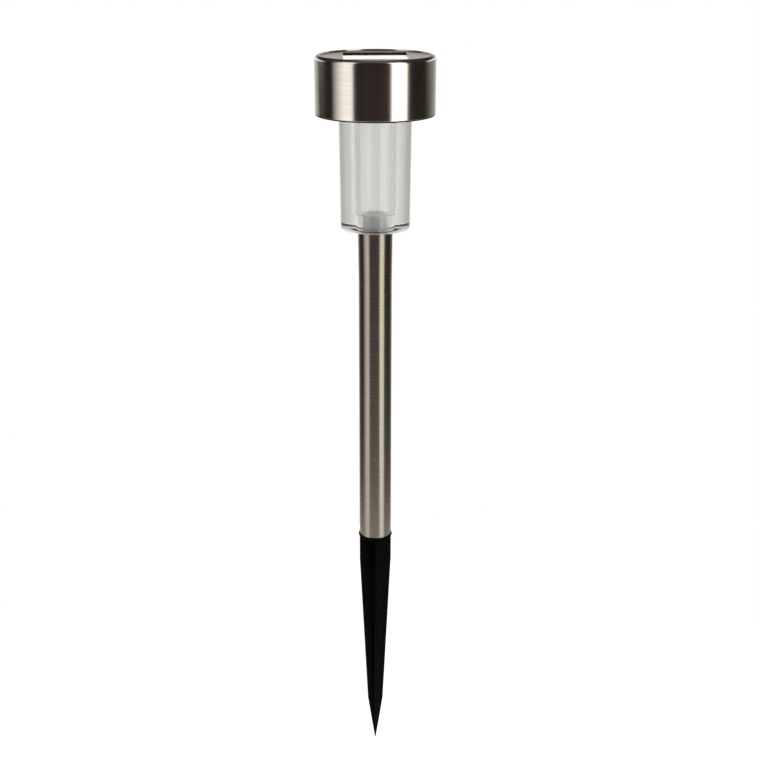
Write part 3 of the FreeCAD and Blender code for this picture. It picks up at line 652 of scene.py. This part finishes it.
def spike():
    """Crossed wings that taper to one point, a collar, and the ribs inside the pole."""
    low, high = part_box("ground_spike")
    joint = COLLAR_HEIGHT / 2
    # height, reach in mm, and thickness as a share of the full blade
    wings = [(joint, 7.15, 1.0), (0.0, 7.15, 1.0), (-0.9 * MM, 8.05, 1.0), (-13.3 * MM, 8.05, 1.0),
             (-97.0 * MM, 3.85, 1.0), (-109.2 * MM, 2.03, 0.85), (-116.6 * MM, 0.93, 0.5), (low.z, 0.2, 0.08)]
    wing_rings = [cross_ring(reach * MM, thick * BLADE_HALF, height) for height, reach, thick in wings]
    rib_inset = 0.09 * MM
    rib_reach = PLUG_RADIUS - rib_inset
    ribs = [(joint, rib_reach), (high.z - PLUG_LEAD, rib_reach), (high.z, rib_reach - PLUG_LEAD)]
    rib_rings = [cross_ring(reach, BLADE_HALF, height) for height, reach in ribs]
    edge = 0.25 * MM
    collar = [(0, 0)] + arc((COLLAR_RADIUS - edge, edge), edge, -90, 0, 4)
    collar += arc((COLLAR_RADIUS - edge, COLLAR_HEIGHT - edge), edge, 0, 90, 4) + [(0, COLLAR_HEIGHT)]
    shells = [loft(wing_rings), loft(rib_rings), turned(collar, SMALL_STEPS, closed=False)]
    piece_from("spike", shells, "spike", ["ground_spike"], "spike_plastic", SPIKE_BLACK, turn=SPIKE_TURN)


# --- lamp and switch -------------------------------------------------------------------------
def lamp():
    """Clear dome and flange, with the lead frame and its small cup inside."""
    low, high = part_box("led_body")
    flange_radius = high.x
    radius = 2.5 * MM
    flange_low = high.z - 1.0 * MM
    edge = 0.15 * MM
    outline = arc((0, low.z + radius), radius, -90, 0, 16)
    outline[0] = (0, low.z)
    outline += [(radius, flange_low), (flange_radius - edge, flange_low), (flange_radius, flange_low + edge)]
    outline += [(flange_radius, high.z - edge), (flange_radius - edge, high.z), (0, high.z)]
    dome = turned(outline, SMALL_STEPS, closed=False)
    piece_from("lamp", [dome], "head", ["led_body"], "led_clear", LED_CLEAR)
    cup_z = low.z + 3.4 * MM
    cup = [(0.25 * MM, cup_z + 0.5 * MM), (0.75 * MM, cup_z), (0.9 * MM, cup_z), (0.9 * MM, cup_z + 0.9 * MM),
           (0.25 * MM, cup_z + 0.9 * MM)]
    post_half = 0.25 * MM
    post_x = 1.27 * MM
    posts = [rounded_block((side * post_x - post_half, -post_half, cup_z + 1.2 * MM),
                           (side * post_x + post_half, post_half, high.z - 0.05 * MM), 0.06 * MM)
             for side in (-1, 1)]
    arm = rounded_block((-post_x - post_half, -post_half, cup_z + 0.7 * MM),
                        (0.4 * MM, post_half, cup_z + 1.25 * MM), 0.06 * MM)
    shells = [turned(cup, TINY_STEPS), arm] + posts
    piece_from("lamp_frame", shells, "head", None, "lead_metal", LEAD_TIN, turn=HEAD_TURN)


def reflector():
    low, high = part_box("led_reflector")
    outer = high.x
    skin = 0.8 * MM
    inner = 2.9 * MM
    edge = 0.2 * MM
    outline = [(inner, high.z - skin), (outer - skin, low.z + edge)]
    outline += arc((outer - skin / 2, low.z + skin / 2), skin / 2, 200, 360, 8)
    outline += [(outer, high.z), (inner, high.z)]
    piece_from("reflector", [turned(outline, SMALL_STEPS)], "head", ["led_reflector"], "reflector",
               REFLECTOR_WHITE)


def knob():
    """Slider with rounded ribs across its underside, on a stem that goes up into the switch."""
    low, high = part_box("switch_slider")
    centre_x, centre_y = (low.x + high.x) / 2, (low.y + high.y) / 2
    turn_back = Matrix.Rotation(-HEAD_TURN, 3, "Z")
    x, y = (turn_back @ Matrix.Translation((centre_x, centre_y, 0)).to_translation())[:2]
    half = 1.5 * MM
    height = 2.2 * MM
    stem_half = 0.8 * MM
    rib_half = 0.3 * MM
    groove = 0.4 * MM
    shells = [rounded_block((x - half, y - half, low.z + groove), (x + half, y + half, low.z + height),
                            0.2 * MM)]
    for place in (-1.5, -0.5, 0.5, 1.5):
        rib_x = x + place * 0.8 * MM
        shells.append(rounded_block((rib_x - rib_half, y - half + 0.1 * MM, low.z),
                                    (rib_x + rib_half, y + half - 0.1 * MM, low.z + 2 * groove), 0.15 * MM))
    shells.append(rounded_block((x - stem_half, y - stem_half, low.z + height - 0.1 * MM),
                                (x + stem_half, y + stem_half, high.z), 0.1 * MM))
    piece_from("knob", shells, "switch_knob", ["switch_slider"], "knob_plastic", KNOB_BLACK, turn=HEAD_TURN)


def winding():
    """Coil on its ferrite drum, each turn of wire a ridge."""
    low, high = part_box("inductor")
    x, y = (low.x + high.x) / 2, (low.y + high.y) / 2
    flange = (high.x - low.x) / 2
    thick = 0.6 * MM
    edge = 0.1 * MM
    drum = [(0, low.z), (flange - edge, low.z), (flange, low.z + edge), (flange, low.z + thick),
            (1.3 * MM, low.z + thick), (1.3 * MM, high.z - thick), (flange, high.z - thick),
            (flange, high.z - edge), (flange - edge, high.z), (0, high.z)]
    core = moved(turned(drum, TINY_STEPS, closed=False), x, y)
    piece_from("inductor_drum", [core], "head", ["inductor"], "ferrite", FERRITE)
    turns = 8
    pitch = (high.z - low.z - 2 * thick) / turns
    ridges = [(1.35 * MM, low.z + thick)]
    for index in range(turns):
        ridges += arc((1.6 * MM, low.z + thick + (index + 0.5) * pitch), pitch / 2, -80, 80, 4)
    ridges += [(1.35 * MM, high.z - thick)]
    coil = moved(turned(ridges, TINY_STEPS), x, y)
    piece_from("inductor_winding", [coil], "head", None, "contact_metal", COPPER)


for make in (cap, liner, resin, cells, lens, plug, seal, pole, spike, lamp, reflector, knob, winding):
    make()

# --- materials for the CAD pieces that stay --------------------------------------------------
KEPT = {
    "housing": HOUSING_BLACK,
    "housing_cover": HOUSING_BLACK,
    "panel_gasket": GASKET_BLACK,
    "panel_board": PANEL_BOARD,
    "panel_tape": TAPE_WHITE,
    "cover_screws": SCREW_ZINC,
    "battery_can": BATTERY_NICKEL,
    "battery_sleeve": BATTERY_FILM,
    "battery_plate": CONTACT_NICKEL,
    "battery_leaf": CONTACT_NICKEL,
    "circuit_board": CIRCUIT_GREEN,
    "driver_chip": CHIP_BLACK,
    "resistor": RESISTOR,
    "led_leads": LEAD_TIN,
    "switch_body": SWITCH_STEEL,
    "switch_terminals": LEAD_TIN,
    "panel_wire_black": WIRE_BLACK,
    "panel_wire_red": WIRE_RED,
    "battery_wire_black": WIRE_BLACK,
    "battery_wire_red": WIRE_RED,
    "switch_wires": WIRE_RED,
}
for node_name, node_material in KEPT.items():
    kept_materials = NODES[node_name].data.materials
    kept_materials.clear()
    kept_materials.append(node_material)


# --- floor, light and camera ---------------------------------------------------------------
def floor():
    base = CAD_BOX[0].z
    look = Look("pale_floor", Roughness=0.9)
    patches = look.noise((3, 3, 3), detail=2.0)
    look.colour(patches, (0.9, 0.9, 0.9), (0.93, 0.93, 0.93))
    look.shader.inputs["Emission Color"].default_value = (1.0, 1.0, 1.0, 1.0)
    look.shader.inputs["Emission Strength"].default_value = 0.85
    disc = turned([(0, base), (0.27, base)], 128, closed=False)
    piece_from("floor", [disc], None, None, None, look.material)


STUDIO = [  # direction round the object in degrees from the camera side, then the light there
    (-180, (0.72, 0.715, 0.70)),
    (-160, (0.72, 0.71, 0.69)),
    (-148, (0.56, 0.55, 0.53)),
    (-139, (0.34, 0.33, 0.31)),
    (-131, (0.06, 0.05, 0.045)),
    (-90, (0.016, 0.012, 0.010)),
    (-75, (0.9, 0.88, 0.85)),
    (-62, (1.5, 1.48, 1.42)),
    (-45, (1.5, 1.48, 1.42)),
    (-40, (0.012, 0.016, 0.013)),
    (-24, (0.010, 0.014, 0.011)),
    (-20, (0.034, 0.020, 0.017)),
    (29, (0.022, 0.013, 0.011)),
    (32, (2.2, 2.18, 2.1)),
    (61, (2.2, 2.18, 2.1)),
    (64, (0.12, 0.12, 0.10)),
    (72, (0.018, 0.015, 0.013)),
    (112, (0.03, 0.025, 0.02)),
    (122, (0.09, 0.078, 0.066)),
    (136, (0.26, 0.25, 0.23)),
    (148, (0.42, 0.41, 0.39)),
    (160, (0.66, 0.65, 0.63)),
    (180, (0.72, 0.715, 0.70)),
]
BACKDROP = (1.6, 1.56, 1.45)     # bright strip of sweep that only the flat top mirrors
BACKDROP_ROUND = (0.30, 0.55)    # how far it reaches round from behind, as the cosine there
BACKDROP_LOW = (0.0, 0.03)       # sines of its height where it fades in, and out
BACKDROP_HIGH = (0.17, 0.24)
CEILING = (0.035, 0.028, 0.024)  # dark room above the boxes, and behind above the strip
CEILING_FROM = (0.76, 0.86)
OVERHEAD = (0.42, 0.41, 0.39)    # paler middle of the ceiling
OVERHEAD_FROM = (0.93, 0.975)
SWEEP = (0.86, 0.84, 0.82)      # pale paper behind, as it shows through the clear pieces
SWEEP_ROUND = (-0.35, 0.1)
SWEEP_COVER = 0.62               # the rest keeps the dark edges that outline clear plastic
FLOOR_SEEN_FROM = -0.45          # sine of the angle below level where the pale floor begins
FLOOR_SEEN_FULLY = -0.62
FLOOR_LIGHT = (0.8, 0.8, 0.78)


class Sky:
    """The world's node tree: pictures of the room laid over each other."""

    def __init__(self):
        world = bpy.data.worlds.new("studio")
        bpy.context.scene.world = world
        world.use_nodes = True
        self.tree = world.node_tree
        self.split = self.node("SeparateXYZ")
        self.link(self.node("TexCoord").outputs["Generated"], self.split.inputs["Vector"])

    def node(self, kind):
        return self.tree.nodes.new("ShaderNode" + kind)

    def link(self, source, target):
        self.tree.links.new(source, target)

    def math(self, operation, first, second):
        node = self.node("Math")
        node.operation = operation
        for source, target in zip((first, second), node.inputs):
            if isinstance(source, float):
                target.default_value = source
            else:
                self.link(source, target)
        return node.outputs["Value"]

    def fade(self, value, start, end):
        """0 before start, 1 after end."""
        scale = self.node("MapRange")
        scale.inputs["From Min"].default_value = start
        scale.inputs["From Max"].default_value = end
        self.link(value, scale.inputs["Value"])
        return scale.outputs["Result"]

    def over(self, below, colour, amount):
        """Lay a colour over what is there, by an amount from 0 to 1."""
        mix = self.node("Mix")
        mix.data_type = "RGBA"
        mix.inputs["B"].default_value = (*colour, 1.0)
        self.link(amount, mix.inputs["Factor"])
        self.link(below, mix.inputs["A"])
        return mix.outputs["Result"]


def studio():
    """Two upright soft boxes, a pale sweep behind and below, in an otherwise dark room."""
    sky = Sky()
    height = sky.split.outputs["Z"]
    away = sky.split.outputs["Y"]
    towards = sky.math("MULTIPLY", away, -1.0)
    bearing = sky.math("ARCTAN2", sky.split.outputs["X"], towards)
    ramp = sky.node("ValToRGB")
    elements = ramp.color_ramp.elements
    while len(elements) < len(STUDIO):
        elements.new(0.5)
    for element, (angle, colour) in zip(elements, STUDIO):
        element.position = (angle + 180) / 360
        element.color = (*colour, 1.0)
    sky.link(sky.fade(bearing, -math.pi, math.pi), ramp.inputs["Fac"])
    room = ramp.outputs["Color"]
    behind = sky.fade(away, *BACKDROP_ROUND)
    room = sky.over(room, BACKDROP, sky.math("MULTIPLY", behind, sky.fade(height, *BACKDROP_LOW)))
    room = sky.over(room, CEILING, sky.math("MULTIPLY", sky.fade(away, -0.1, 0.1),
                                            sky.fade(height, *BACKDROP_HIGH)))
    room = sky.over(room, CEILING, sky.fade(height, *CEILING_FROM))
    room = sky.over(room, OVERHEAD, sky.fade(height, *OVERHEAD_FROM))
    room = sky.over(room, FLOOR_LIGHT, sky.fade(height, FLOOR_SEEN_FROM, FLOOR_SEEN_FULLY))
    path = sky.node("LightPath")
    through = path.outputs["Is Transmission Ray"]
    cover = sky.math("MULTIPLY", sky.fade(away, *SWEEP_ROUND), SWEEP_COVER)
    room = sky.over(room, SWEEP, sky.math("MULTIPLY", through, cover))
    room = sky.over(room, (1.0, 1.0, 1.0), path.outputs["Is Camera Ray"])
    sky.link(room, sky.tree.nodes["Background"].inputs["Color"])


def camera():
    data = bpy.data.cameras.new("camera")
    data.sensor_width = 36
    data.lens = CAMERA_LENS
    data.shift_x = CAMERA_SIDE_SHIFT
    data.clip_start = 0.01
    piece = bpy.data.objects.new("camera", data)
    piece.location = (0, -CAMERA_DISTANCE, CAD_BOX[1].z + CAMERA_ABOVE_CAP)
    piece.rotation_euler = (math.radians(90 - CAMERA_PITCH), 0, 0)
    bpy.context.scene.collection.objects.link(piece)
    bpy.context.scene.camera = piece


floor()
studio()
camera()
bpy.context.scene.view_settings.view_transform = "Standard"

bpy.context.view_layer.update()
